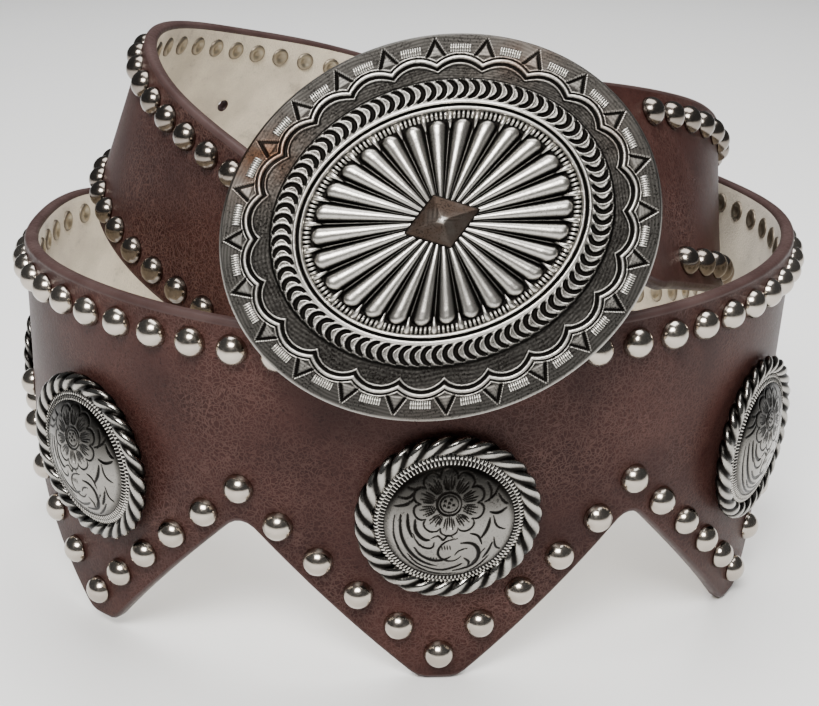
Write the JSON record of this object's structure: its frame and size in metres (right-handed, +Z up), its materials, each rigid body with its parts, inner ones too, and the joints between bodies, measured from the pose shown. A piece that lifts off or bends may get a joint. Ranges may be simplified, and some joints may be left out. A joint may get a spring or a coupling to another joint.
{
  "type": "concho belt",
  "caption": "Coiled leather belt with a zigzag front panel, studded edges, rope-edged domed conchos, punched holes and an oval sunburst buckle hung on a bar at its end.",
  "frame": {"origin": "middle of the belt's outline, on the surface that the blunt tips of the zigzag edge stand on", "axes": "+Z up, across the strap's width; the buckle and the middle concho face -Y; +X is to the right of someone who looks at the buckle"},
  "size_m": [0.2152, 0.2144, 0.1489],
  "materials": {
    "leather": "satin",
    "old_silver": "satin",
    "buckle_silver": "satin"
  },
  "bodies": {
    "root": {"strap": "leather", "concho_1": "old_silver", "concho_2": "old_silver", "concho_3": "old_silver", "concho_4": "old_silver", "concho_5": "old_silver", "buckle": "buckle_silver"}
  },
  "joints": []
}
